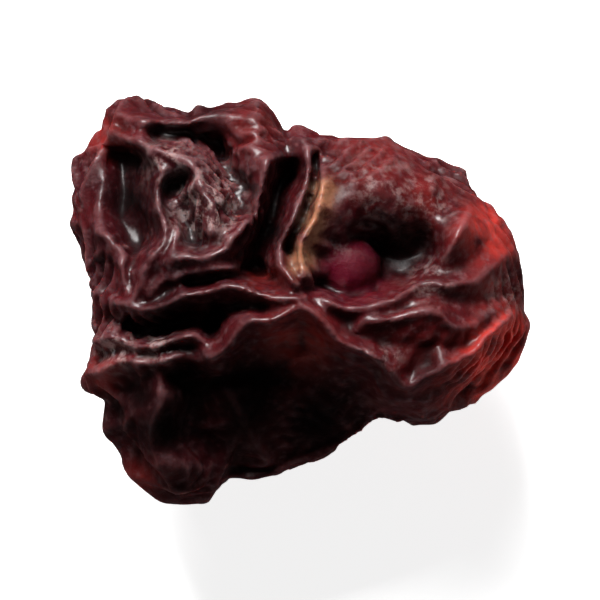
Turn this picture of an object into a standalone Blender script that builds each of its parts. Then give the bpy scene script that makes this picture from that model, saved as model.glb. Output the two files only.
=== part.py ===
"""A dried schisandra berry, modelled as the one solid that it is: skin and flesh shrunk round the seeds.

The berry starts as a cube whose grid is spread over a ball. Every point of the ball is then placed by the
form of the berry: first a smooth body with the berry's outline, then the folds and hollows of its upper
side, and last the net of wrinkles that runs round the sides and under the belly. Lengths in the form are
in millimetres, and become metres when the mesh is written. The origin is on the surface that the berry
lies on, under the middle of its length and width. +X runs along its long side and +Z is up.
"""

import math

import bmesh
import bpy
import numpy as np

MM = 0.001
GRID = 96  # squares along each edge of the cube: fine enough for the narrowest fold
TRIANGLES = 10400  # what the folds are thinned out to

# The smooth body: the height of its widest stretch, and how far it reaches above and below that.
WAIST_Z = 2.65
CROWN = 2.95
BELLY = 3.06
BELLY_FULL = 0.68  # the lower this is, the fuller the sides are below the widest stretch
FLATTER = 0.9  # how steeply the wrinkles go in on the top and the belly, set against the sides
CORNER_REACH = 0.7  # how far up and down the body the outline's corners last, as a share of its height
CORNER_TURN = 0.5  # radians each way over which the outline is evened out above and below that

# The berry's outline seen from above, clockwise from the corner at its upper left.
OUTLINE = [
    (-3.2, 3.55), (-2.5, 3.46), (-1.9, 3.38), (-1.3, 3.52), (-0.8, 3.62), (-0.5, 3.45), (-0.22, 3.0),
    (0.0, 3.05), (1.0, 2.86), (2.1, 2.54), (2.7, 2.32), (3.05, 1.92), (3.33, 1.45), (3.53, 0.8),
    (3.72, 0.1), (3.92, -0.5), (3.8, -1.0), (3.4, -1.45), (2.9, -1.82), (2.45, -2.26), (1.75, -2.1),
    (1.3, -2.06), (0.6, -2.52), (-0.1, -2.8), (-0.7, -3.03), (-1.15, -3.05), (-1.42, -3.3),
    (-1.6, -3.58), (-2.4, -3.64), (-2.9, -3.18), (-3.22, -2.35), (-3.42, -1.8), (-3.8, -1.5),
    (-3.76, -0.8), (-3.85, 0.2), (-3.92, 1.0), (-3.96, 1.8), (-3.76, 2.5), (-3.45, 3.05),
]

# The folds of the upper side, seen from above: height or depth, half width, then the points.
RAISED = [
    (0.42, 0.17, [(-3.2, -0.02), (-2.4, -0.05), (-1.9, 0.1), (-1.4, 0.19), (-0.6, 0.12), (0.0, -0.15)]),
    (0.55, 0.22, [(-1.5, -0.86), (-1.2, -0.6), (-0.7, -0.36), (0.1, -0.32), (0.6, -0.58), (1.3, -1.06),
                  (2.0, -1.4), (2.45, -1.28), (3.1, -0.65), (3.75, -0.22)]),
    (0.40, 0.18, [(-3.0, 0.0), (-2.65, 0.4), (-2.47, 1.0), (-2.4, 1.8), (-2.5, 2.35), (-3.0, 2.9)]),
    (0.22, 0.12, [(-2.65, 0.2), (-2.3, 0.55), (-2.2, 1.1), (-2.15, 1.7)]),
    (0.40, 0.18, [(-2.3, 0.72), (-1.7, 0.75), (-1.2, 0.95), (-0.92, 1.5), (-0.8, 1.95), (-0.5, 2.55)]),
    (0.22, 0.10, [(-2.3, 0.42), (-1.6, 0.52), (-1.0, 0.5), (-0.7, 0.35)]),
    (0.35, 0.18, [(-3.15, 3.35), (-2.4, 3.2), (-1.9, 3.12), (-1.4, 3.27), (-0.8, 3.4)]),
    (0.42, 0.36, [(-2.75, 2.8), (-2.2, 2.5), (-1.8, 2.15), (-1.6, 1.75), (-1.5, 1.35)]),
    (0.45, 0.16, [(0.0, 2.75), (0.04, 2.0), (-0.08, 1.4), (-0.32, 1.0), (-0.34, 0.65), (-0.15, 0.2)]),
    (0.30, 0.16, [(0.4, 2.1), (0.3, 1.6), (0.12, 1.0), (0.02, 0.45)]),
    (0.30, 0.18, [(0.5, -0.08), (1.2, -0.05), (1.7, 0.15), (2.1, 0.27), (2.5, 0.75), (2.8, 1.25),
                  (3.1, 1.7)]),
    (0.15, 0.15, [(2.1, 0.27), (2.6, 0.1), (3.1, 0.3), (3.5, 0.7)]),
    (0.10, 0.14, [(1.2, -0.3), (1.9, -0.25), (2.6, -0.4), (3.2, -0.2)]),
    (0.35, 0.16, [(-3.85, 2.0), (-3.68, 1.45), (-3.4, 1.08), (-3.1, 0.7), (-3.0, 0.1)]),
    (0.30, 0.14, [(-3.4, -0.72), (-2.9, -0.8), (-2.1, -0.68), (-1.75, -0.5)]),
    (0.30, 0.14, [(-3.5, -1.2), (-2.8, -1.05), (-2.3, -1.1), (-1.4, -1.02)]),
    (0.10, 0.30, [(-2.5, -1.3), (-2.55, -2.0), (-2.4, -2.7), (-2.45, -3.4)]),
    (0.25, 0.20, [(0.9, -1.1), (1.5, -1.6), (2.3, -1.7)]),
    (0.15, 0.30, [(-1.3, -1.5), (-1.0, -2.1), (-0.5, -2.6)]),
]
SUNK = [
    (0.55, 0.22, [(-2.35, 2.95), (-1.9, 2.75), (-1.4, 2.7)]),
    (0.60, 0.26, [(-1.2, 2.45), (-1.08, 2.1), (-1.12, 1.65)]),
    (0.45, 0.22, [(-2.15, 2.0), (-2.05, 1.5), (-1.8, 1.15)]),
    (0.75, 0.32, [(-2.95, 1.15), (-3.02, 1.75), (-2.98, 2.3)]),
    (1.05, 0.25, [(-0.32, 2.1), (-0.5, 1.5), (-0.62, 1.0), (-0.72, 0.62)]),
    (0.45, 0.09, [(0.16, 2.4), (0.2, 2.0), (0.1, 1.5), (-0.08, 0.95)]),
    (0.90, 0.42, [(1.45, 0.75), (2.05, 0.7)]),
    (0.40, 0.58, [(0.72, 0.58), (0.95, 0.58)]),
    (0.25, 0.13, [(0.35, 0.35), (0.75, 0.1), (1.35, 0.25)]),
    (0.62, 0.15, [(-2.9, -0.40), (-2.3, -0.42), (-1.55, -0.32)]),
    (0.25, 0.10, [(-1.55, -0.32), (-0.6, -0.12)]),
    (0.35, 0.12, [(-2.0, 0.3), (-1.2, 0.36), (-0.7, 0.6)]),
    (0.35, 0.45, [(-1.2, -1.15), (-0.3, -0.95), (0.5, -1.10), (1.1, -1.62)]),
    (0.35, 0.45, [(-1.9, -1.5), (-1.75, -2.5)]),
]
# Broad swellings of the upper side: x, y, radius and height, below zero for a broad hollow.
SWOLLEN = [
    (-0.60, -2.30, 1.30, -1.00),
    (-0.82, 2.95, 0.50, 0.35),
    (1.35, 2.00, 0.85, 0.55),
    (3.00, 1.10, 0.60, 0.25),
    (2.10, -0.65, 0.75, 0.20),
    (-2.30, -2.60, 0.80, 0.20),
]
# One end of a seed, round which the skin has shrunk tight: its middle and radius.
SEED_X, SEED_Y, SEED_Z = 0.80, 0.56, 4.18
SEED_RADIUS = 0.62
SEED_SKIN = 0.28  # how softly the skin runs from the seed into the folds

UPPER_FROM, UPPER_FULL = 0.05, 0.5  # shares of the body's height between which these folds set in
LINE_SWAY = 0.07  # how far the lines wander from their points
LINE_SWAY_LENGTH = 0.55
LINE_TIP = 0.4  # how round a raised line's crest is, as a share of its half width
UPPER_SAG = 0.42  # how far the skin sinks between the raised lines
UPPER_SAG_REACH = 0.50
CROSSING = 4.0  # the higher this is, the less the height of two raised lines adds up where they meet

# The net of wrinkles, in bands from coarse to fine: depth, distance between crests, the crests' sharpness and
# what is left of the band among the folds of the upper side.
NET = [(0.65, 2.9, 0.70, 0.12), (0.45, 1.35, 0.60, 0.28), (0.14, 0.70, 0.50, 0.80)]
CREST_ROUND = 0.20  # the higher this is, the rounder the net's crests
# Places of the upper side where the skin is drawn smooth between its folds: x, y and radius.
SMOOTH = [(-0.3, -1.8, 1.4), (1.4, 2.0, 0.9), (2.4, -0.5, 0.8), (3.4, 0.8, 1.2)]
SMOOTH_SHARE = 0.9  # how much of the net those places lose
WARP, WARP_SPACING = 0.3, 4.0  # how far the net is bent, and over what length
WAIST_SHARE = 0.5  # of the net's depth at the waist, where the outline has corners of its own
WAIST_REACH = 0.2
SPREAD = 0.36  # what the body is wider by than its outline, so that its crests reach that
SPREAD_REACH = 0.6
SEED = 11
WAVES = 18

# Round its lowest place the belly is worn to one depth, and it lies on what comes below the surface there.
REST_X, REST_Y = -0.2, 0.1
REST_RADIUS = 0.8
REST_EDGE = 1.8
REST_DEPTH = 0.36
REST_TOUCH = 0.02  # what comes this near to the surface lies on it too


def smooth_step(low, high, value):
    share = np.clip((value - low) / (high - low), 0.0, 1.0)
    return share * share * (3.0 - 2.0 * share)


def closed_curve(points, steps=8):
    """Points along a closed Catmull-Rom curve through the given ones."""
    ends = np.array(points)
    before, after, later = np.roll(ends, 1, 0), np.roll(ends, -1, 0), np.roll(ends, -2, 0)
    curve = []
    for share in np.arange(steps) / steps:
        a = -0.5 * share + share**2 - 0.5 * share**3
        b = 1.0 - 2.5 * share**2 + 1.5 * share**3
        c = 0.5 * share + 2.0 * share**2 - 1.5 * share**3
        d = -0.5 * share**2 + 0.5 * share**3
        curve.append(a * before + b * ends + c * after + d * later)
    return np.stack(curve, 1).reshape(-1, 2)


def outline_radius(angle):
    """Distance from the middle to the outline, seen from above, in the direction of the angle."""
    curve = closed_curve(OUTLINE)
    return np.interp(angle, np.arctan2(curve[:, 1], curve[:, 0]), np.hypot(*curve.T), period=2 * math.pi)


def round_radius(angle):
    """The outline without its corners: its mean over some way to either side."""
    turns = np.linspace(-CORNER_TURN, CORNER_TURN, 15)
    return np.mean([outline_radius(angle + turn) for turn in turns], axis=0)


def distance_to_line(x, y, points):
    """Distance, seen from above, from each place to the nearest stretch of a line."""
    nearest = np.full(len(x), np.inf)
    for (x0, y0), (x1, y1) in zip(points, points[1:]):
        run_x, run_y = x1 - x0, y1 - y0
        share = ((x - x0) * run_x + (y - y0) * run_y) / (run_x**2 + run_y**2)
        share = np.clip(share, 0.0, 1.0)
        nearest = np.minimum(nearest, np.hypot(x - x0 - share * run_x, y - y0 - share * run_y))
    return nearest


def upper_folds(x, y):
    """Height that the folds, hollows and swellings add to the upper side."""
    flat = np.stack([x, y, np.zeros(len(x))], 1)
    x = x + LINE_SWAY * ripples(flat, LINE_SWAY_LENGTH, SEED + 31)
    y = y + LINE_SWAY * ripples(flat, LINE_SWAY_LENGTH, SEED + 32)
    crests = np.zeros(len(x))
    nearest = np.full(len(x), np.inf)
    for rise, width, points in RAISED:
        away = distance_to_line(x, y, points)
        nearest = np.minimum(nearest, away)
        crests += (rise * np.exp(-np.hypot(away, LINE_TIP * width) / width)) ** CROSSING
    height = crests ** (1.0 / CROSSING)
    height -= UPPER_SAG * (1.0 - np.exp(-nearest / UPPER_SAG_REACH))
    for depth, width, points in SUNK:
        height -= depth / (1.0 + (distance_to_line(x, y, points) / width) ** 4)
    for centre_x, centre_y, radius, rise in SWOLLEN:
        away = np.hypot(x - centre_x, y - centre_y)
        height += rise * np.exp(-((away / radius) ** 2))
    return height


def ripples(points, spacing, seed):
    """A field of waves that cross in all directions, about one unit high, with a zero line every spacing."""
    random = np.random.default_rng(seed)
    ways = random.normal(size=(WAVES, 3))
    ways /= np.linalg.norm(ways, axis=1, keepdims=True)
    pace = math.pi / spacing * random.uniform(0.75, 1.25, WAVES)
    phase = random.uniform(0.0, 2.0 * math.pi, WAVES)
    return np.sin(points @ (ways * pace[:, None]).T + phase).sum(1) / math.sqrt(WAVES / 2)


def wrinkle_net(points, upper):
    """Depth of the wrinkles at each point: nothing along a crest, and full between crests."""
    warp = np.stack([ripples(points, WARP_SPACING, SEED + 50 + axis) for axis in range(3)], 1)
    depth = np.zeros(len(points))
    for band, (most, spacing, crest, left_on_top) in enumerate(NET):
        field = np.hypot(ripples(points + WARP * spacing * warp, spacing, SEED + band), CREST_ROUND)
        share = 1.0 - (1.0 - left_on_top) * upper
        depth += share * most * (1.0 - np.exp(-field / crest))
    for x, y, radius in SMOOTH:
        away = np.hypot(points[:, 0] - x, points[:, 1] - y)
        drawn = SMOOTH_SHARE * smooth_step(WAIST_Z - 0.5, WAIST_Z + 0.5, points[:, 2])
        depth *= 1.0 - drawn * np.exp(-((away / radius) ** 2))
    return depth


def over_seed(points):
    """Heights of the upper side with the seed's round end under the skin."""
    around = (points[:, 0] - SEED_X) ** 2 + (points[:, 1] - SEED_Y) ** 2
    seed = SEED_Z + np.sqrt(np.maximum(SEED_RADIUS**2 - around, 0.0))
    seed = np.where((around < SEED_RADIUS**2) & (points[:, 2] > WAIST_Z), seed, -np.inf)
    gap = np.maximum(SEED_SKIN - np.abs(seed - points[:, 2]), 0.0) / SEED_SKIN
    return np.maximum(seed, points[:, 2]) + gap**2 * SEED_SKIN / 4


def berry_points(ball):
    """Places on the berry's surface, in millimetres, for points on the unit ball."""
    lift = ball[:, 2]
    reach = np.hypot(ball[:, 0], ball[:, 1])
    angle = np.arctan2(ball[:, 1], ball[:, 0])
    corners = np.exp(-((lift / CORNER_REACH) ** 2))
    radius = round_radius(angle) * (1.0 - corners) + outline_radius(angle) * corners
    radius = radius * np.where(lift > 0.0, reach, reach**BELLY_FULL)
    x, y = radius * np.cos(angle), radius * np.sin(angle)
    z = WAIST_Z + np.where(lift > 0.0, CROWN, BELLY) * lift
    body = np.stack([x, y, z], 1)

    upper = smooth_step(UPPER_FROM, UPPER_FULL, lift)
    waist = np.exp(-((lift / WAIST_REACH) ** 2))
    inward = wrinkle_net(body, upper) * (1.0 - (1.0 - WAIST_SHARE) * waist)
    inward -= SPREAD * np.exp(-((lift / SPREAD_REACH) ** 2))
    rest = 1.0 - smooth_step(REST_RADIUS, REST_RADIUS + REST_EDGE, np.hypot(x - REST_X, y - REST_Y))
    rest = np.where(lift < 0.0, rest, 0.0)
    inward = rest * REST_DEPTH + (1.0 - rest) * inward
    outward = np.stack([ball[:, 0], ball[:, 1], FLATTER * lift], 1)
    points = body - outward * inward[:, None]
    points[:, 2] += upper * upper_folds(x, y)
    points[:, 2] = over_seed(points)
    return points


def ball_mesh(name):
    """A cube whose grid is spread evenly over the unit ball."""
    grid = bmesh.new()
    bmesh.ops.create_cube(grid, size=2.0)
    bmesh.ops.subdivide_edges(grid, edges=grid.edges[:], cuts=GRID - 1, use_grid_fill=True)
    for vert in grid.verts:
        vert.co = [math.tan(side * math.pi / 4) for side in vert.co]
        vert.co.normalize()
    bmesh.ops.triangulate(grid, faces=grid.faces[:], quad_method="SHORT_EDGE")
    mesh = bpy.data.meshes.new(name)
    grid.to_mesh(mesh)
    grid.free()
    return mesh


def moved(mesh, place):
    """Moves the mesh's points to where the function places them."""
    points = np.empty(len(mesh.vertices) * 3)
    mesh.vertices.foreach_get("co", points)
    mesh.vertices.foreach_set("co", place(points.reshape(-1, 3)).ravel())
    mesh.update()


def thinned(mesh, triangles):
    """The same surface with fewer triangles: small ones along the folds and large ones between them."""
    thing = bpy.data.objects.new("unthinned", mesh)
    bpy.context.scene.collection.objects.link(thing)
    even = thing.modifiers.new("even", "SMOOTH")
    even.factor = 0.5
    even.iterations = 3
    decimate = thing.modifiers.new("thin", "DECIMATE")
    decimate.ratio = triangles / len(mesh.polygons)
    graph = bpy.context.evaluated_depsgraph_get()
    result = bpy.data.meshes.new_from_object(thing.evaluated_get(graph))
    bpy.data.objects.remove(thing)
    bpy.data.meshes.remove(mesh)
    return result


def laid_down(points):
    """The berry's lowest stretch lies flat on the surface under it, and its middle stands over the origin."""
    points[:, :2] -= (points[:, :2].min(0) + points[:, :2].max(0)) / 2
    points[:, 2] = np.where(points[:, 2] < REST_TOUCH * MM, 0.0, points[:, 2])
    return points


def dried_skin():
    """Dark wine-red skin with a dull gloss."""
    material = bpy.data.materials.new("dried_skin")
    material.use_nodes = True
    shader = material.node_tree.nodes["Principled BSDF"]
    shader.inputs["Base Color"].default_value = (0.060, 0.008, 0.010, 1.0)
    shader.inputs["Roughness"].default_value = 0.42
    shader.inputs["Metallic"].default_value = 0.0
    return material


def main():
    for thing in list(bpy.data.objects):
        bpy.data.objects.remove(thing, do_unlink=True)
    collection = bpy.data.collections.new("schisandra_berry")
    bpy.context.scene.collection.children.link(collection)

    mesh = ball_mesh("ball")
    moved(mesh, lambda ball: berry_points(ball) * MM)
    mesh = thinned(mesh, TRIANGLES)
    moved(mesh, laid_down)
    mesh.name = "berry"
    mesh.shade_smooth()
    mesh.materials.append(dried_skin())

    berry = bpy.data.objects.new("berry", mesh)
    collection.objects.link(berry)


main()
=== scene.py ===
# %% [markdown]
# # A dried schisandra berry
#
# A schisandra berry is a soft red berry with one or two hard seeds. As it dries, its flesh shrinks to a
# fraction of its size but its skin keeps its area, so the skin has to go somewhere: it sinks into hollows,
# stands up in sharp folds, and crinkles finely all over. Only where a seed presses from inside does it stay
# round and tight.
#
# The imported model already has the berry's large folds. Here they are made again at a much finer grain, the
# skin is let crinkle, and it gets its wine red, its grey bloom and its oily gloss, with painted highlight,
# painted shade and a painted red glow in its colour.

import math

import bmesh
import bpy
import numpy as np
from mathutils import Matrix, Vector


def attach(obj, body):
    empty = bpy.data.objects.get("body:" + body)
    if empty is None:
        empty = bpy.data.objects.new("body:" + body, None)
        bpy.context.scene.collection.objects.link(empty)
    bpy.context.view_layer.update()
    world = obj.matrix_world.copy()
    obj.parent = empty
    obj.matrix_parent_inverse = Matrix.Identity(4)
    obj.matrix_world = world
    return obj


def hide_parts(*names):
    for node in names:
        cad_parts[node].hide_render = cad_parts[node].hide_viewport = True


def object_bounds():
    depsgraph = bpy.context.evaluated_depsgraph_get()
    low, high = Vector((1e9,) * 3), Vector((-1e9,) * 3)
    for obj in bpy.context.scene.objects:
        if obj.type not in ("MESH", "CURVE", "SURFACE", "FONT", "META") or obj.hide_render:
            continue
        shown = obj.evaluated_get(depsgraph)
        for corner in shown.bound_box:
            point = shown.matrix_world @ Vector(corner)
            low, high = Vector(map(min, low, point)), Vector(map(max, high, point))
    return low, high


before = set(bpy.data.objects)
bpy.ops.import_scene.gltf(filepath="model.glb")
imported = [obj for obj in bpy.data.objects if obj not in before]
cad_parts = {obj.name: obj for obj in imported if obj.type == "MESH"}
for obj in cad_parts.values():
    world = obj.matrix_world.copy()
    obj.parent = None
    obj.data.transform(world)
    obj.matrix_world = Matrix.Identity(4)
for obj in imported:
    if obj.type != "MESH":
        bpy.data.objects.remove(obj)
cad_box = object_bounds()
MM = 0.001
print("The berry measures", [round((high - low) / MM, 2) for low, high in zip(*cad_box)], "mm")

# %% [markdown]
# ## The outline
#
# Seen from above, the berry is a rough triangle with three blunt corners. A few points on a closed curve give
# it, with a point wherever a fold reaches the edge. The curve is read as a distance from the middle for each
# direction, because that is easy to apply to a ball. Lengths are in millimetres until the mesh is written.

# %% The outline, clockwise from its upper left corner
OUTLINE = [
    (-3.2, 3.55), (-2.5, 3.46), (-1.9, 3.38), (-1.3, 3.52), (-0.8, 3.62), (-0.5, 3.45), (-0.22, 3.0),
    (0.0, 3.05), (1.0, 2.86), (2.1, 2.54), (2.7, 2.32), (3.05, 1.92), (3.33, 1.45), (3.53, 0.8),
    (3.72, 0.1), (3.92, -0.5), (3.8, -1.0), (3.4, -1.45), (2.9, -1.82), (2.45, -2.26), (1.75, -2.1),
    (1.3, -2.06), (0.6, -2.52), (-0.1, -2.8), (-0.7, -3.03), (-1.15, -3.05), (-1.42, -3.3),
    (-1.6, -3.58), (-2.4, -3.64), (-2.9, -3.18), (-3.22, -2.35), (-3.42, -1.8), (-3.8, -1.5),
    (-3.76, -0.8), (-3.85, 0.2), (-3.92, 1.0), (-3.96, 1.8), (-3.76, 2.5), (-3.45, 3.05),
]


def closed_curve(points, steps=8):
    """Points along a closed Catmull-Rom curve through the given ones."""
    ends = np.array(points)
    before, after, later = np.roll(ends, 1, 0), np.roll(ends, -1, 0), np.roll(ends, -2, 0)
    curve = []
    for share in np.arange(steps) / steps:
        a = -0.5 * share + share**2 - 0.5 * share**3
        b = 1.0 - 2.5 * share**2 + 1.5 * share**3
        c = 0.5 * share + 2.0 * share**2 - 1.5 * share**3
        d = -0.5 * share**2 + 0.5 * share**3
        curve.append(a * before + b * ends + c * after + d * later)
    return np.stack(curve, 1).reshape(-1, 2)


def outline_radius(angle):
    """Distance from the middle to the outline, seen from above, in the direction of the angle."""
    curve = closed_curve(OUTLINE)
    return np.interp(angle, np.arctan2(curve[:, 1], curve[:, 0]), np.hypot(*curve.T), period=2 * math.pi)


CORNER_TURN = 0.5  # radians each way over which the outline is evened out towards the top and the belly


def round_radius(angle):
    """The outline without its corners: its mean over some way to either side."""
    turns = np.linspace(-CORNER_TURN, CORNER_TURN, 15)
    return np.mean([outline_radius(angle + turn) for turn in turns], axis=0)


print("The outline is", round(float(outline_radius(np.zeros(1))[0]), 2), "mm from the middle on its +X side")

# %% [markdown]
# ## Folds and hollows of the upper side
#
# The folds could be sculpted by hand, but then nothing would say where they are. So each one is a line drawn
# on the plan: how high it stands, how wide it is, and the points it passes through. The skin sags between the
# lines, as cloth does between tent poles. The hollows are lines too, and cut down instead of standing up.

# %% Raised lines: height, half width and points
RAISED = [
    (0.42, 0.17, [(-3.2, -0.02), (-2.4, -0.05), (-1.9, 0.1), (-1.4, 0.19), (-0.6, 0.12), (0.0, -0.15)]),
    (0.55, 0.22, [(-1.5, -0.86), (-1.2, -0.6), (-0.7, -0.36), (0.1, -0.32), (0.6, -0.58), (1.3, -1.06),
                  (2.0, -1.4), (2.45, -1.28), (3.1, -0.65), (3.75, -0.22)]),
    (0.40, 0.18, [(-3.0, 0.0), (-2.65, 0.4), (-2.47, 1.0), (-2.4, 1.8), (-2.5, 2.35), (-3.0, 2.9)]),
    (0.22, 0.12, [(-2.65, 0.2), (-2.3, 0.55), (-2.2, 1.1), (-2.15, 1.7)]),
    (0.40, 0.18, [(-2.3, 0.72), (-1.7, 0.75), (-1.2, 0.95), (-0.92, 1.5), (-0.8, 1.95), (-0.5, 2.55)]),
    (0.22, 0.10, [(-2.3, 0.42), (-1.6, 0.52), (-1.0, 0.5), (-0.7, 0.35)]),
    (0.35, 0.18, [(-3.15, 3.35), (-2.4, 3.2), (-1.9, 3.12), (-1.4, 3.27), (-0.8, 3.4)]),
    (0.42, 0.36, [(-2.75, 2.8), (-2.2, 2.5), (-1.8, 2.15), (-1.6, 1.75), (-1.5, 1.35)]),
    (0.45, 0.16, [(0.0, 2.75), (0.04, 2.0), (-0.08, 1.4), (-0.32, 1.0), (-0.34, 0.65), (-0.15, 0.2)]),
    (0.30, 0.16, [(0.4, 2.1), (0.3, 1.6), (0.12, 1.0), (0.02, 0.45)]),
    (0.30, 0.18, [(0.5, -0.08), (1.2, -0.05), (1.7, 0.15), (2.1, 0.27), (2.5, 0.75), (2.8, 1.25),
                  (3.1, 1.7)]),
    (0.15, 0.15, [(2.1, 0.27), (2.6, 0.1), (3.1, 0.3), (3.5, 0.7)]),
    (0.10, 0.14, [(1.2, -0.3), (1.9, -0.25), (2.6, -0.4), (3.2, -0.2)]),
    (0.35, 0.16, [(-3.85, 2.0), (-3.68, 1.45), (-3.4, 1.08), (-3.1, 0.7), (-3.0, 0.1)]),
    (0.30, 0.14, [(-3.4, -0.72), (-2.9, -0.8), (-2.1, -0.68), (-1.75, -0.5)]),
    (0.30, 0.14, [(-3.5, -1.2), (-2.8, -1.05), (-2.3, -1.1), (-1.4, -1.02)]),
    (0.10, 0.30, [(-2.5, -1.3), (-2.55, -2.0), (-2.4, -2.7), (-2.45, -3.4)]),
    (0.25, 0.20, [(0.9, -1.1), (1.5, -1.6), (2.3, -1.7)]),
    (0.15, 0.30, [(-1.3, -1.5), (-1.0, -2.1), (-0.5, -2.6)]),
]

# %% Sunk lines, and the broad swellings between them
SUNK = [
    (0.55, 0.22, [(-2.35, 2.95), (-1.9, 2.75), (-1.4, 2.7)]),
    (0.60, 0.26, [(-1.2, 2.45), (-1.08, 2.1), (-1.12, 1.65)]),
    (0.45, 0.22, [(-2.15, 2.0), (-2.05, 1.5), (-1.8, 1.15)]),
    (0.75, 0.32, [(-2.95, 1.15), (-3.02, 1.75), (-2.98, 2.3)]),
    (1.05, 0.25, [(-0.32, 2.1), (-0.5, 1.5), (-0.62, 1.0), (-0.72, 0.62)]),
    (0.45, 0.09, [(0.16, 2.4), (0.2, 2.0), (0.1, 1.5), (-0.08, 0.95)]),
    (0.90, 0.42, [(1.45, 0.75), (2.05, 0.7)]),
    (0.40, 0.58, [(0.72, 0.58), (0.95, 0.58)]),
    (0.25, 0.13, [(0.35, 0.35), (0.75, 0.1), (1.35, 0.25)]),
    (0.62, 0.15, [(-2.9, -0.40), (-2.3, -0.42), (-1.55, -0.32)]),
    (0.25, 0.10, [(-1.55, -0.32), (-0.6, -0.12)]),
    (0.35, 0.12, [(-2.0, 0.3), (-1.2, 0.36), (-0.7, 0.6)]),
    (0.35, 0.45, [(-1.2, -1.15), (-0.3, -0.95), (0.5, -1.10), (1.1, -1.62)]),
    (0.35, 0.45, [(-1.9, -1.5), (-1.75, -2.5)]),
]
# Broad swellings of the upper side: x, y, radius and height, below zero for a broad hollow.
SWOLLEN = [
    (-0.60, -2.30, 1.30, -1.00),
    (-0.82, 2.95, 0.50, 0.35),
    (1.35, 2.00, 0.85, 0.55),
    (3.00, 1.10, 0.60, 0.25),
    (2.10, -0.65, 0.75, 0.20),
    (-2.30, -2.60, 0.80, 0.20),
]
print(len(RAISED), "raised lines,", len(SUNK), "sunk ones and", len(SWOLLEN), "broad swellings")

# %% The end of a seed, which the skin has shrunk tight round
SEED_X, SEED_Y, SEED_Z = 0.80, 0.56, 4.18
SEED_RADIUS = 0.62
SEED_SKIN = 0.28  # how softly the skin runs from the seed into the folds
print("The seed's end is", 2 * SEED_RADIUS, "mm across")

# %% [markdown]
# ## Ripples
#
# Real wrinkles wander, fork and come back at an even spacing. Waves that cross each other in all directions
# do the same along the lines where their sum is nought, and a handful of them is quick to work out. The same
# field bends the drawn lines a little, so that no fold looks ruled.

# %% Ripples and distances
SEED = 11
WAVES = 18


def smooth_step(low, high, value):
    """Rises softly from 0 at low to 1 at high."""
    share = np.clip((value - low) / (high - low), 0.0, 1.0)
    return share * share * (3.0 - 2.0 * share)


def ripples(points, spacing, seed):
    """A field of waves that cross in all directions, about one unit high, with a zero line every spacing."""
    random = np.random.default_rng(seed)
    ways = random.normal(size=(WAVES, 3))
    ways /= np.linalg.norm(ways, axis=1, keepdims=True)
    pace = math.pi / spacing * random.uniform(0.75, 1.25, WAVES)
    phase = random.uniform(0.0, 2.0 * math.pi, WAVES)
    return np.sin(points @ (ways * pace[:, None]).T + phase).sum(1) / math.sqrt(WAVES / 2)


def distance_to_line(x, y, points):
    """Distance, seen from above, from each place to the nearest stretch of a line."""
    nearest = np.full(len(x), np.inf)
    for (x0, y0), (x1, y1) in zip(points, points[1:]):
        run_x, run_y = x1 - x0, y1 - y0
        share = ((x - x0) * run_x + (y - y0) * run_y) / (run_x**2 + run_y**2)
        share = np.clip(share, 0.0, 1.0)
        nearest = np.minimum(nearest, np.hypot(x - x0 - share * run_x, y - y0 - share * run_y))
    return nearest


print("The ripples are made of", WAVES, "waves")

# %% The folds as heights over the plan
WAIST_Z = 2.65  # height of the body's widest stretch
UPPER_FROM, UPPER_FULL = 0.05, 0.5  # shares of the body's height between which these folds set in
LINE_TIP = 0.4  # how round a raised line's crest is, as a share of its half width
UPPER_SAG = 0.42  # how far the skin sinks between the raised lines
UPPER_SAG_REACH = 0.50  # how far from a raised line it has sunk most of that
CROSSING = 4.0  # the higher this is, the less the height of two raised lines adds up where they meet
LINE_SWAY = 0.07  # how far the lines wander from their points
LINE_SWAY_LENGTH = 0.55


def upper_folds(x, y):
    """Height that the folds, hollows and swellings add to the upper side."""
    flat = np.stack([x, y, np.zeros(len(x))], 1)
    x = x + LINE_SWAY * ripples(flat, LINE_SWAY_LENGTH, SEED + 31)
    y = y + LINE_SWAY * ripples(flat, LINE_SWAY_LENGTH, SEED + 32)
    crests = np.zeros(len(x))
    nearest = np.full(len(x), np.inf)
    for rise, width, points in RAISED:
        away = distance_to_line(x, y, points)
        nearest = np.minimum(nearest, away)
        crests += (rise * np.exp(-np.hypot(away, LINE_TIP * width) / width)) ** CROSSING
    height = crests ** (1.0 / CROSSING)
    height -= UPPER_SAG * (1.0 - np.exp(-nearest / UPPER_SAG_REACH))
    for depth, width, points in SUNK:
        height -= depth / (1.0 + (distance_to_line(x, y, points) / width) ** 4)
    for centre_x, centre_y, radius, rise in SWOLLEN:
        away = np.hypot(x - centre_x, y - centre_y)
        height += rise * np.exp(-((away / radius) ** 2))
    return height


def over_seed(points):
    """Heights of the upper side with the seed's round end under the skin."""
    around = (points[:, 0] - SEED_X) ** 2 + (points[:, 1] - SEED_Y) ** 2
    seed = SEED_Z + np.sqrt(np.maximum(SEED_RADIUS**2 - around, 0.0))
    seed = np.where((around < SEED_RADIUS**2) & (points[:, 2] > WAIST_Z), seed, -np.inf)
    gap = np.maximum(SEED_SKIN - np.abs(seed - points[:, 2]), 0.0) / SEED_SKIN
    return np.maximum(seed, points[:, 2]) + gap**2 * SEED_SKIN / 4


print("In the middle the folds move the skin by", round(float(upper_folds(*np.zeros((2, 1)))[0]), 2), "mm")

# %% [markdown]
# ## The net round the sides
#
# The sides and the belly have a net of folds in three sizes, which comes from the ripples. Each band is
# deepest halfway between its crests, and its crests are sharp, because skin folds but doesn't stretch.

# %% The net of wrinkles
NET = [(0.65, 2.9, 0.70, 0.12), (0.45, 1.35, 0.60, 0.28), (0.14, 0.70, 0.50, 0.80)]
CREST_ROUND = 0.20  # the higher this is, the rounder the net's crests
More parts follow.
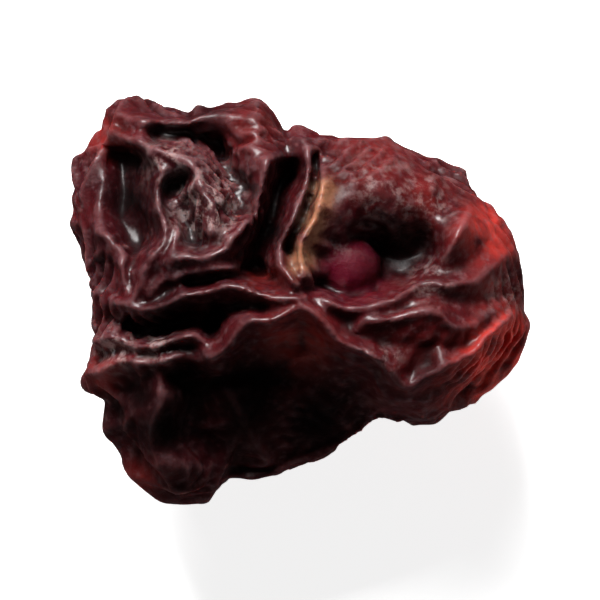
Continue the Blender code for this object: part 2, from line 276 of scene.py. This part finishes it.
# Places of the upper side where the skin is drawn smooth between its folds: x, y and radius.
SMOOTH = [(-0.3, -1.8, 1.4), (1.4, 2.0, 0.9), (2.4, -0.5, 0.8), (3.4, 0.8, 1.2)]
SMOOTH_SHARE = 0.9  # how much of the net those places lose
SMOOTH_FADE = 0.5  # how far above and below the waist they fade out
WARP, WARP_SPACING = 0.3, 4.0  # how far the net is bent, and over what length


def wrinkle_net(points, upper):
    """Depth of the wrinkles at each point: nothing along a crest, and full between crests."""
    warp = np.stack([ripples(points, WARP_SPACING, SEED + 50 + axis) for axis in range(3)], 1)
    depth = np.zeros(len(points))
    for band, (most, spacing, crest, left_on_top) in enumerate(NET):
        field = np.hypot(ripples(points + WARP * spacing * warp, spacing, SEED + band), CREST_ROUND)
        share = 1.0 - (1.0 - left_on_top) * upper
        depth += share * most * (1.0 - np.exp(-field / crest))
    for x, y, radius in SMOOTH:
        away = np.hypot(points[:, 0] - x, points[:, 1] - y)
        drawn = SMOOTH_SHARE * smooth_step(WAIST_Z - SMOOTH_FADE, WAIST_Z + SMOOTH_FADE, points[:, 2])
        depth *= 1.0 - drawn * np.exp(-((away / radius) ** 2))
    return depth


print("In its middle the net is", round(float(wrinkle_net(np.zeros((1, 3)), 0.0)[0]), 2), "mm deep")

# %% The whole form, from a ball
CROWN = 2.95  # how far the body reaches above its widest stretch, before the folds
BELLY = 3.06  # and below it
BELLY_FULL = 0.68  # the lower this is, the fuller the sides are below the widest stretch
WAIST_SHARE = 0.5  # of the net's depth at the waist, where the outline has corners of its own
WAIST_REACH = 0.2
SPREAD = 0.36  # what the body is wider by than its outline, so that its crests reach that
SPREAD_REACH = 0.6
FLATTER = 0.9  # how steeply the wrinkles go in on the top and the belly, set against the sides
CORNER_REACH = 0.7  # how far up and down the body the outline's corners last, as a share of its height
REST_X, REST_Y = -0.2, 0.1
REST_RADIUS = 0.8  # of the belly's flat middle that the berry lies on
REST_EDGE = 1.8  # over how much farther out the net comes back
REST_DEPTH = 0.36  # how deep that middle lies, in place of the net
REST_TOUCH = 0.02  # what comes this near to the surface lies on it too


def berry_points(ball):
    """Places on the berry's surface, in millimetres, for points on the unit ball."""
    lift = ball[:, 2]
    reach = np.hypot(ball[:, 0], ball[:, 1])
    angle = np.arctan2(ball[:, 1], ball[:, 0])
    corners = np.exp(-((lift / CORNER_REACH) ** 2))
    radius = round_radius(angle) * (1.0 - corners) + outline_radius(angle) * corners
    radius = radius * np.where(lift > 0.0, reach, reach**BELLY_FULL)
    x, y = radius * np.cos(angle), radius * np.sin(angle)
    z = WAIST_Z + np.where(lift > 0.0, CROWN, BELLY) * lift
    body = np.stack([x, y, z], 1)

    upper = smooth_step(UPPER_FROM, UPPER_FULL, lift)
    waist = np.exp(-((lift / WAIST_REACH) ** 2))
    inward = wrinkle_net(body, upper) * (1.0 - (1.0 - WAIST_SHARE) * waist)
    inward -= SPREAD * np.exp(-((lift / SPREAD_REACH) ** 2))
    rest = 1.0 - smooth_step(REST_RADIUS, REST_RADIUS + REST_EDGE, np.hypot(x - REST_X, y - REST_Y))
    rest = np.where(lift < 0.0, rest, 0.0)
    inward = rest * REST_DEPTH + (1.0 - rest) * inward
    outward = np.stack([ball[:, 0], ball[:, 1], FLATTER * lift], 1)
    points = body - outward * inward[:, None]
    points[:, 2] += upper * upper_folds(x, y)
    points[:, 2] = over_seed(points)
    return points


# %% [markdown]
# ## An even skin
#
# A cube's grid spread over a ball has points of nearly even spacing, but on the steep walls of the folds they
# end up far apart. A voxel remesh lays a new grid of even squares over the form, so that the skin can crinkle
# the same way everywhere.

# %% The ball, and the skin laid over its form
GRID = 150  # squares along each edge of the cube
SKIN_GRAIN = 0.052  # side of the skin's even squares
EVENING = 3  # rounds of smoothing before that, which even out the ball's stretched triangles


def ball_mesh(name):
    """A cube whose grid is spread evenly over the unit ball."""
    grid = bmesh.new()
    bmesh.ops.create_cube(grid, size=2.0)
    bmesh.ops.subdivide_edges(grid, edges=grid.edges[:], cuts=GRID - 1, use_grid_fill=True)
    for vert in grid.verts:
        vert.co = [math.tan(side * math.pi / 4) for side in vert.co]
        vert.co.normalize()
    bmesh.ops.triangulate(grid, faces=grid.faces[:], quad_method="SHORT_EDGE")
    mesh = bpy.data.meshes.new(name)
    grid.to_mesh(mesh)
    grid.free()
    return mesh


def moved(mesh, place):
    """Moves the mesh's points to where the function places them."""
    points = np.empty(len(mesh.vertices) * 3)
    mesh.vertices.foreach_get("co", points)
    mesh.vertices.foreach_set("co", place(points.reshape(-1, 3)).ravel())
    mesh.update()


def even_skin(mesh, grain):
    """The same form under a grid of even squares."""
    form = bpy.data.objects.new("form", mesh)
    bpy.context.scene.collection.objects.link(form)
    even = form.modifiers.new("even", "SMOOTH")
    even.factor = 0.5
    even.iterations = EVENING
    squares = form.modifiers.new("squares", "REMESH")
    squares.mode = "VOXEL"
    squares.voxel_size = grain * MM
    graph = bpy.context.evaluated_depsgraph_get()
    skin = bpy.data.meshes.new_from_object(form.evaluated_get(graph))
    bpy.data.objects.remove(form)
    bpy.data.meshes.remove(mesh)
    return skin


ball = ball_mesh("ball")
moved(ball, lambda points: berry_points(points) * MM)
skin = even_skin(ball, SKIN_GRAIN)
print("The skin has", len(skin.vertices), "points")

# %% [markdown]
# ## The skin crinkles
#
# The fine crinkles could be painted as bump, but then the outline of each fold would stay smooth. So the skin
# is let do what it did on the real berry: every stretch of it wants to be longer than the flesh allows, and
# it buckles sideways. Three pulls share each point: the skin's own length, its stiffness, which evens out the
# smallest kinks, and the flesh, which holds it near its place.

# %% Points and neighbours as arrays
def array_of(items, key, width, kind=float):
    """What the items keep under the key, as an array with so many columns."""
    values = np.empty(len(items) * width, dtype=kind)
    items.foreach_get(key, values)
    return values.reshape(-1, width) if width > 1 else values


points = array_of(skin.vertices, "co", 3) / MM
normals = array_of(skin.vertices, "normal", 3)
edges = array_of(skin.edges, "vertices", 2, np.int32)
squares = array_of(skin.polygons, "vertices", 4, np.int32)
links = np.concatenate([edges, squares[:, [0, 2]], squares[:, [1, 3]]])  # the diagonals brace each square


def spread(pairs, values, count):
    """For each point, the sum over its pairs of the other end's value."""
    total = [
        np.bincount(pairs[:, 0], values[pairs[:, 1], axis], count)
        + np.bincount(pairs[:, 1], values[pairs[:, 0], axis], count)
        for axis in range(values.shape[1])
    ]
    return np.stack(total, 1)


def neighbour_mean(values, pairs=edges):
    """For each point, the mean of its neighbours' values."""
    count = np.bincount(pairs.ravel(), minlength=len(values))
    return spread(pairs, values, len(values)) / count[:, None]


print("Each point has", round(2 * len(links) / len(points), 1), "neighbours")

# %% How much each stretch of skin has to crinkle
GROWTH = 0.19  # how much longer the skin wants to be than the flesh allows, as a share
GROWTH_MOST = 0.45  # no stretch of it wants more than this
GROWTH_VARIES, GROWTH_SPACING = 0.4, 1.3  # how much that varies over the berry, and at what spacing
# Places on the upper side that crinkle more or less than the rest: x, y, radius and how many times as much.
CRINKLED = [
    (-1.6, 1.8, 0.8, 1.8), (1.5, 1.9, 1.0, 0.35), (-2.95, 1.7, 0.6, 0.3), (0.0, -1.2, 1.1, 0.35),
    (2.2, -0.5, 0.8, 1.3), (-0.8, 3.0, 0.5, 0.9), (0.15, 1.2, 0.4, 0.7), (3.4, 0.2, 0.8, 0.5),
    (2.3, -1.15, 0.35, 1.6), (-2.2, -2.2, 1.0, 0.35),
]
CRINKLED_END = 1.0  # how far below the waist those places have faded out
LINE_CALM, LINE_CALM_SHARE = 0.16, 0.6  # how near the raised lines the skin is drawn smooth, and how smooth
FLOW_LENGTH = 2.6  # over what length the way that the skin grows turns
SIDEWAYS = 0.35  # how much it grows across that way, as a share
ON_SEED, OFF_SEED = 0.04, 0.16  # distances from the seed between which its tight skin ends

seed_near = np.linalg.norm(points - (SEED_X, SEED_Y, SEED_Z), axis=1)
on_seed = 1.0 - smooth_step(ON_SEED, OFF_SEED, np.abs(seed_near - SEED_RADIUS))
on_seed *= points[:, 2] > SEED_Z
above = smooth_step(WAIST_Z - CRINKLED_END, WAIST_Z, points[:, 2])
growth = GROWTH * (1.0 + GROWTH_VARIES * ripples(points, GROWTH_SPACING, SEED + 71))
for spot_x, spot_y, radius, share in CRINKLED:
    away = np.hypot(points[:, 0] - spot_x, points[:, 1] - spot_y)
    growth *= 1.0 + (share - 1.0) * above * np.exp(-((away / radius) ** 2))
crest_near = np.min([distance_to_line(points[:, 0], points[:, 1], line) for _, _, line in RAISED], axis=0)
growth *= 1.0 - LINE_CALM_SHARE * above * np.exp(-((crest_near / LINE_CALM) ** 2))
growth = np.clip(growth, 0.0, GROWTH_MOST) * (1.0 - on_seed)
print("The skin grows by", round(100 * growth.mean(), 1), "% on average")

# %% Let it buckle
ROUNDS = 150
PACE = 1.6  # how far a point follows the pull of its neighbours in each round
STIFF = 0.14  # how much of the smallest kinks is evened out in each round
FLESH = 0.006  # how far the flesh draws each point back in each round
FARTHEST = 0.10  # the flesh lets no point go farther than this
START_PUSH, START_SPACING = 0.010, 0.13  # a faint ripple that the crinkles start from


def buckled(start, growth):
    """The skin's points after it has grown and crinkled."""
    first, second = links[:, 0], links[:, 1]
    wanted = np.linalg.norm(start[second] - start[first], axis=1)
    flow = np.stack([ripples(start, FLOW_LENGTH, SEED + 95 + axis) for axis in range(3)], 1)
    flow /= np.linalg.norm(flow, axis=1, keepdims=True)
    along = np.einsum("ij,ij->i", start[second] - start[first], flow[first]) / wanted
    wanted *= 1.0 + (growth[first] + growth[second]) * (SIDEWAYS / 2 + (1.0 - SIDEWAYS) * along**2)
    count = np.bincount(links.ravel(), minlength=len(start))[:, None]
    off = normals * (START_PUSH * ripples(start, START_SPACING, SEED + 81))[:, None]
    for _ in range(ROUNDS):
        run = start[second] + off[second] - start[first] - off[first]
        length = np.linalg.norm(run, axis=1)
        push = run * (0.5 * (wanted / length - 1.0))[:, None]
        pull = [
            np.bincount(second, push[:, axis], len(start)) - np.bincount(first, push[:, axis], len(start))
            for axis in range(3)
        ]
        off += PACE * np.stack(pull, 1) / count
        bend = off - neighbour_mean(off, links)
        off -= STIFF * (bend - neighbour_mean(bend, links))
        off *= 1.0 - FLESH
        far = np.linalg.norm(off, axis=1, keepdims=True)
        off *= np.minimum(1.0, FARTHEST / np.maximum(far, 1e-9))
    return start + off


crinkled = buckled(points, growth)
print("The skin moved by", round(float(np.linalg.norm(crinkled - points, axis=1).mean()), 3), "mm on average")

# %% Lay it down on its flat spot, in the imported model's place
crinkled[:, :2] -= (crinkled[:, :2].min(0) + crinkled[:, :2].max(0)) / 2
crinkled[:, 2] = np.where(crinkled[:, 2] < REST_TOUCH, 0.0, crinkled[:, 2])
skin.vertices.foreach_set("co", (crinkled * MM).ravel())
skin.update()
skin.shade_smooth()
berry = bpy.data.objects.new("berry_skin", skin)
bpy.context.scene.collection.objects.link(berry)
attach(berry, "root")
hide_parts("berry")
print("The dressed berry measures", (crinkled.max(0) - crinkled.min(0)).round(2), "mm")

# %% [markdown]
# ## Painted highlight on crests, painted shade in hollows, and a painted red glow
#
# The colours follow the form: crests get a grey painted highlight over some of the skin's grey bloom, hollows
# get painted shade, and thin edges a painted red glow of light shining through. Each of these is worked out
# from the mesh and kept on its points, where the material reads it.

# %% How far each point stands out of its surroundings, and where the seed shows
def stands_out(values, normals, rounds):
    """Height over the mean of the surroundings, along the normal."""
    mean = values
    for _ in range(rounds):
        mean = neighbour_mean(mean)
    return np.einsum("ij,ij->i", values - mean, normals)


def keep(name, values):
    """Keeps a value between 0 and 1 for each point, for the material to read."""
    layer = skin.attributes.new(name, "FLOAT", "POINT")
    layer.data.foreach_set("value", np.ascontiguousarray(values, np.float32))
    print(name, "averages", round(float(np.mean(values)), 3))


FINE_ROUNDS, BROAD_ROUNDS = 3, 24  # how many neighbours away the surroundings reach
FINE_CREST = (0.002, 0.016)  # heights over them at which a crest starts and is full
BROAD_CREST = (0.01, 0.09)
HOLLOW_DEPTH = 0.10  # how far below them a hollow's painted shade is at its darkest
SEED_SHOWS = 0.52  # how far round the seed's middle its colour shows through the skin
EDGE_TINT, SEED_TINT = 0.6, 0.95  # how strong that colour is on all the tight skin, and in its middle

fine_normals = array_of(skin.vertices, "normal", 3)
out_fine = stands_out(crinkled, fine_normals, FINE_ROUNDS)
out_broad = stands_out(crinkled, fine_normals, BROAD_ROUNDS)
# The crest mask lays a grey painted highlight on what stands out, over some of the skin's grey bloom.
crest = smooth_step(*FINE_CREST, out_fine) * 0.5 + smooth_step(*BROAD_CREST, out_broad) * 0.5
# The hollow mask lays painted shade in what lies below its surroundings.
keep("hollow_shade", smooth_step(0.0, HOLLOW_DEPTH, -out_broad))
seed_away = np.hypot(crinkled[:, 0] - SEED_X, crinkled[:, 1] - SEED_Y)
keep("tight", np.maximum(EDGE_TINT * on_seed, SEED_TINT * np.exp(-((seed_away / SEED_SHOWS) ** 2))))

# %% Places on the plan: painted red glow on thin skin, tan, dust with painted glints, painted shade, and matt places
# Spots are x, y, radius and share.
# The skin's red, brightened into a painted glow of light shining through thin skin.
RED_GLOW_SPOTS = [
    (3.70, -0.85, 0.60, 1.0), (3.30, 1.20, 0.50, 0.6), (3.25, -1.30, 0.50, 1.0), (-3.4, 2.85, 0.38, 0.2),
    (-0.80, 3.00, 0.45, 0.10), (1.25, 2.4, 0.70, 0.10), (0.0, -0.80, 0.50, 0.40), (-2.75, -3.02, 0.35, 0.15),
    (-3.4, -1.3, 0.3, 0.2), (2.2, 1.8, 0.5, 0.12), (-0.60, 0.30, 0.3, 0.2), (3.3, 0.2, 0.4, 0.15),
    (2.2, -0.7, 0.8, 0.06), (2.6, -1.6, 0.4, 0.2),
]
TAN_LINE = [(0.42, 1.9), (0.34, 1.6), (0.25, 1.3), (0.14, 1.0), (0.02, 0.6)]
TAN_WIDTH = 0.18
# Grey dust speckle that also paints the glints and highlights on lit crests, the seed and the bowl.
DUST_AND_GLINT_SPOTS = [
    (-1.6, 1.6, 0.5, 1.0), (-2.3, 2.4, 0.35, 0.6), (1.5, 1.8, 0.7, 0.32), (2.25, 0.35, 0.35, 0.4),
    (-3.2, -0.82, 0.3, 0.9), (-2.5, -0.8, 0.3, 0.6), (0.72, 1.0, 0.22, 0.3), (3.6, 0.1, 0.4, 0.4),
    (1.5, -1.0, 0.25, 0.4), (2.2, 1.75, 0.45, 0.35),
]
# Painted shade on the slopes and hollows that face away from the lamp.
SHADE_SPOTS = [
    (-0.9, -1.85, 1.1, 1.0), (0.3, -2.1, 0.95, 1.0), (-0.5, 1.2, 0.3, 1.0), (1.55, 0.85, 0.5, 1.0),
    (-2.95, 1.75, 0.45, 1.0), (-2.3, -0.4, 0.6, 0.7), (-1.9, -1.5, 0.7, 0.95), (-2.4, -2.2, 0.8, 1.0),
    (-2.2, -2.9, 0.7, 0.7), (2.25, -1.08, 0.3, 0.6), (-2.9, 2.3, 0.3, 0.5), (-2.7, 3.4, 0.45, 0.45),
    (-1.6, 3.3, 0.35, 0.5), (-3.2, 3.0, 0.35, 0.45), (-2.75, -1.65, 0.5, 0.95), (0.9, 2.2, 0.4, 0.3),
    (2.3, 0.3, 0.40, 0.5), (-0.8, 3.0, 0.4, 0.3), (-3.5, 0.9, 0.4, 0.4),
]
MATT_SPOTS = [(2.2, -1.1, 0.4, 0.9), (-3.0, 1.5, 0.5, 0.8), (1.0, 1.55, 0.3, 0.4), (0.75, 1.95, 0.45, 0.8)]
for kind, spots in (("Red", RED_GLOW_SPOTS), ("Dust_and_glint", DUST_AND_GLINT_SPOTS), ("Dark", SHADE_SPOTS), ("Matt", MATT_SPOTS)):
    print(kind, "spots:", len(spots))

# %% Masks from those places
SPOTS_END = 1.8  # how far below the waist the spots have faded out
DARK_CREST = 0.85  # how much of the crests' painted highlight is lost under the painted shade
DARK_OIL, SEED_OIL = 0.95, 0.9  # and how much of the oil there, and on the seed
plan_x, plan_y = crinkled[:, 0], crinkled[:, 1]
upward = smooth_step(WAIST_Z - SPOTS_END, WAIST_Z, crinkled[:, 2])


def over_spots(spots):
    """For each point, the share of the spot that covers it most."""
    shares = [
        share * np.exp(-((plan_x - spot_x) ** 2 + (plan_y - spot_y) ** 2) / radius**2)
        for spot_x, spot_y, radius, share in spots
    ]
    return np.max(shares, axis=0)


# Painted shade, which also takes away the crests' painted highlight, the gloss and the painted sheen.
dark = over_spots(SHADE_SPOTS) * upward
matt = over_spots(MATT_SPOTS) * upward
keep("crest", crest * (1.0 - DARK_CREST * dark))
keep("thin", over_spots(RED_GLOW_SPOTS) * upward)
keep("dust_and_glints", over_spots(DUST_AND_GLINT_SPOTS) * upward)
keep("dark", dark)
# Oil gives the coat's gloss, and in the colour a grey speckle of bloom and painted sheen.
keep("oily_sheen", (1.0 - DARK_OIL * dark) * (1.0 - SEED_OIL * on_seed) * (1.0 - matt))
keep("tan", np.exp(-((distance_to_line(plan_x, plan_y, TAN_LINE) / TAN_WIDTH) ** 2)) * upward)

# %% [markdown]
# ## The skin's material
#
# Dried berry skin is dark wine red and slightly see-through, with a dull oily gloss that sparkles on the
# small crinkles. One Principled shader does this: red base colour, light that scatters a few tenths of a
# millimetre under the surface, and a thin coat for the oil. The masks mix in a grey painted highlight on the
# crests over some of the skin's grey bloom, painted shade in the hollows and on the slopes away from the
# lamp, a painted red glow of light shining through thin places, a grey speckle of bloom and painted sheen
# where the skin is oily, and grey dust that also paints glints. The coat carries nearly all of the gloss,
# because its weight can be taken away under the painted shade. The shader's own reflection is low everywhere,
# since only the coat's weight follows a mask.

# %% Node helpers
material = bpy.data.materials.new("dried_skin")
material.use_nodes = True
nodes, wires = material.node_tree.nodes, material.node_tree.links
skin_shader = nodes["Principled BSDF"]


def node(kind, **settings):
    """A new node of the skin's material with the settings given."""
    made = nodes.new(kind)
    for key, value in settings.items():
        setattr(made, key, value)
    return made


def mask(name):
    """The values that keep() left on the mesh under this name."""
    return node("ShaderNodeAttribute", attribute_name=name).outputs["Fac"]


def grain(scale, detail=4.0, rough=0.6):
    """Noise of so many grains a millimetre, between 0 and 1."""
    made = node("ShaderNodeTexNoise")
    made.inputs["Scale"].default_value = scale / MM
    made.inputs["Detail"].default_value = detail
    made.inputs["Roughness"].default_value = rough
    wires.new(place.outputs["Object"], made.inputs["Vector"])
    return made.outputs["Fac"]


def mapped(value, low, high, new_low=0.0, new_high=1.0):
    """The value spread softly from one range over another."""
    made = node("ShaderNodeMapRange", interpolation_type="SMOOTHSTEP")
    wires.new(value, made.inputs["Value"])
    for key, number in zip(("From Min", "From Max", "To Min", "To Max"), (low, high, new_low, new_high)):
        made.inputs[key].default_value = number
    return made.outputs["Result"]


def times(first, second):
    """The product of a socket and another socket or a number."""
    made = node("ShaderNodeMath", operation="MULTIPLY")
    wires.new(first, made.inputs[0])
    if isinstance(second, float):
        made.inputs[1].default_value = second
    else:
        wires.new(second, made.inputs[1])
    return made.outputs[0]


MIX_UNDER, MIX_OVER, MIX_RESULT = 6, 7, 2  # which of a Mix node's sockets are the colour ones


def mixed(share, under, over):
    """Colour under with colour over mixed in by share."""
    made = node("ShaderNodeMix", data_type="RGBA")
    wires.new(share, made.inputs["Factor"])
    for socket, colour in ((made.inputs[MIX_UNDER], under), (made.inputs[MIX_OVER], over)):
        if isinstance(colour, tuple):
            socket.default_value = (*colour, 1.0)
        else:
            wires.new(colour, socket)
    return made.outputs[MIX_RESULT]


place = node("ShaderNodeTexCoord")
print("The material has", len(nodes), "nodes before its colours")

# %% Colours
WINE = (0.022, 0.0018, 0.0030)
LIGHT_WINE = (0.056, 0.0040, 0.0058)
# Near black of the painted shade.
SHADE_BLACK = (0.0022, 0.0005, 0.0006)
# Bright red of the painted glow through thin skin.
GLOW_RED = (0.62, 0.036, 0.022)
SEED_RED = (0.068, 0.002, 0.009)
# Grey of the skin's bloom, also used as painted sheen and painted highlight.
BLOOM_AND_SHEEN = (0.122, 0.054, 0.058)
# Grey of dust, also used as painted glints and highlights.
DUST_AND_GLINT_GREY = (0.33, 0.23, 0.22)
TAN = (0.28, 0.12, 0.062)

# Each layer lies over those before it, and most have a grain that breaks up their edge.
colour = mixed(mapped(grain(0.55), 0.35, 0.7), WINE, LIGHT_WINE)
# Painted glow: bright red where light shines through thin skin.
colour = mixed(times(mask("thin"), mapped(grain(1.6), 0.28, 0.56)), colour, GLOW_RED)
# Painted shade on the slopes and hollows away from the lamp.
colour = mixed(mask("dark"), colour, SHADE_BLACK)
# Grey bloom speckle and painted sheen where the skin is oily.
colour = mixed(times(mask("oily_sheen"), mapped(grain(6.0, 3.0), 0.50, 0.68, 0.0, 0.4)), colour, BLOOM_AND_SHEEN)
colour = mixed(mask("tight"), colour, SEED_RED)
# Painted shade in the hollows.
colour = mixed(times(mask("hollow_shade"), 0.85), colour, SHADE_BLACK)
# Painted highlight on the crests, over some grey bloom.
colour = mixed(times(mask("crest"), mapped(grain(2.2), 0.3, 0.7, 0.10, 0.65)), colour, BLOOM_AND_SHEEN)
# Dust speckle with painted glints and highlights.
colour = mixed(times(mask("dust_and_glints"), mapped(grain(4.5, 5.0, 0.7), 0.47, 0.62, 0.0, 0.85)), colour, DUST_AND_GLINT_GREY)
colour = mixed(times(mask("tan"), mapped(grain(3.0), 0.35, 0.6, 0.1, 0.9)), colour, TAN)
wires.new(colour, skin_shader.inputs["Base Color"])
print("The material has", len(nodes), "nodes with its colours")

# %% Gloss, light under the skin, and fine bump
SHADE_DULLING = 0.30  # how much rougher the skin is under the painted shade
RED_GOES_FARTHEST = (1.0, 0.16, 0.10)  # how far red, green and blue light spread in the skin
roughness = node("ShaderNodeMath", operation="MULTIPLY_ADD", use_clamp=True)
wires.new(mask("dark"), roughness.inputs[0])
roughness.inputs[1].default_value = SHADE_DULLING
wires.new(mapped(grain(4.0), 0.3, 0.7, 0.28, 0.56), roughness.inputs[2])
wires.new(roughness.outputs[0], skin_shader.inputs["Roughness"])
skin_shader.inputs["Specular IOR Level"].default_value = 0.05
skin_shader.inputs["Subsurface Weight"].default_value = 0.30
skin_shader.inputs["Subsurface Radius"].default_value = RED_GOES_FARTHEST
skin_shader.inputs["Subsurface Scale"].default_value = 0.35 * MM
wires.new(times(mask("oily_sheen"), mapped(grain(3.0), 0.3, 0.7, 0.2, 0.75)), skin_shader.inputs["Coat Weight"])
skin_shader.inputs["Coat Roughness"].default_value = 0.32

bump = node("ShaderNodeBump")
bump.inputs["Strength"].default_value = 0.7
bump.inputs["Distance"].default_value = 0.06 * MM
wires.new(grain(5.0, 6.0, 0.68), bump.inputs["Height"])
wires.new(bump.outputs["Normal"], skin_shader.inputs["Normal"])
skin.materials.clear()
skin.materials.append(material)
print("The material has", len(nodes), "nodes in all")

# %% [markdown]
# ## Floor, light and camera
#
# The berry lies on a pale floor and is seen from straight above through a long lens, so that its height
# hardly spreads it. One soft lamp stands beyond the upper edge of the view: crests that face it shine, and
# the slopes on the near side fall off into the dark.
#
# Small dark things are often photographed on a light table, which glows by itself, so that the ground is
# white and shadows are faint. The floor glows here too. In reflections it would lay a grey veil over the dark
# glossy skin, so it is kept out of them, and the light from all round is weak.

# %% Floor
FLOOR_SIDE = 1.0
FLOOR_GLOW = 0.85
bpy.ops.mesh.primitive_plane_add(size=FLOOR_SIDE)
floor = bpy.context.object
floor.name = "floor"
floor.visible_glossy = False
paper = bpy.data.materials.new("paper")
paper.use_nodes = True
paper_shader = paper.node_tree.nodes["Principled BSDF"]
paper_shader.inputs["Base Color"].default_value = (0.88, 0.88, 0.88, 1.0)
paper_shader.inputs["Roughness"].default_value = 0.8
paper_shader.inputs["Emission Color"].default_value = (1.0, 1.0, 1.0, 1.0)
paper_shader.inputs["Emission Strength"].default_value = FLOOR_GLOW
floor.data.materials.append(paper)
print("The floor is", FLOOR_SIDE, "m wide")

# %% Light
LAMP_WAY = (-0.20, 0.75, 0.62)
LAMP_AWAY, LAMP_SIZE, LAMP_WATTS = 0.07, 0.036, 0.15
SKY = 0.025  # strength of the light from all round
middle = (Vector(cad_box[0]) + Vector(cad_box[1])) / 2
light = bpy.data.lights.new("window", "AREA")
light.size = LAMP_SIZE
light.energy = LAMP_WATTS
stand = bpy.data.objects.new("window", light)
stand.location = middle + Vector(LAMP_WAY).normalized() * LAMP_AWAY
stand.rotation_euler = (middle - stand.location).to_track_quat("-Z", "Y").to_euler()
bpy.context.scene.collection.objects.link(stand)

world = bpy.data.worlds.new("studio")
world.use_nodes = True
world.node_tree.nodes["Background"].inputs["Color"].default_value = (1.0, 1.0, 1.0, 1.0)
world.node_tree.nodes["Background"].inputs["Strength"].default_value = SKY
bpy.context.scene.world = world
bpy.context.scene.view_settings.view_transform = "Standard"
print("The lamp stands", round(stand.location.z / MM), "mm above the floor")

# %% Camera
LENS = 600.0  # focal length in millimetres
BERRY_SHARE = 0.76  # how much of the picture's width the berry takes
lens = bpy.data.cameras.new("camera")
lens.lens = LENS
lens.clip_start = MM
width = cad_box[1][0] - cad_box[0][0]
eye = bpy.data.objects.new("camera", lens)
eye.location = middle + Vector((0.0, 0.0, width / BERRY_SHARE * LENS / lens.sensor_width))
bpy.context.scene.collection.objects.link(eye)
bpy.context.scene.camera = eye
print("The camera is", round(eye.location.z / MM), "mm above the floor")
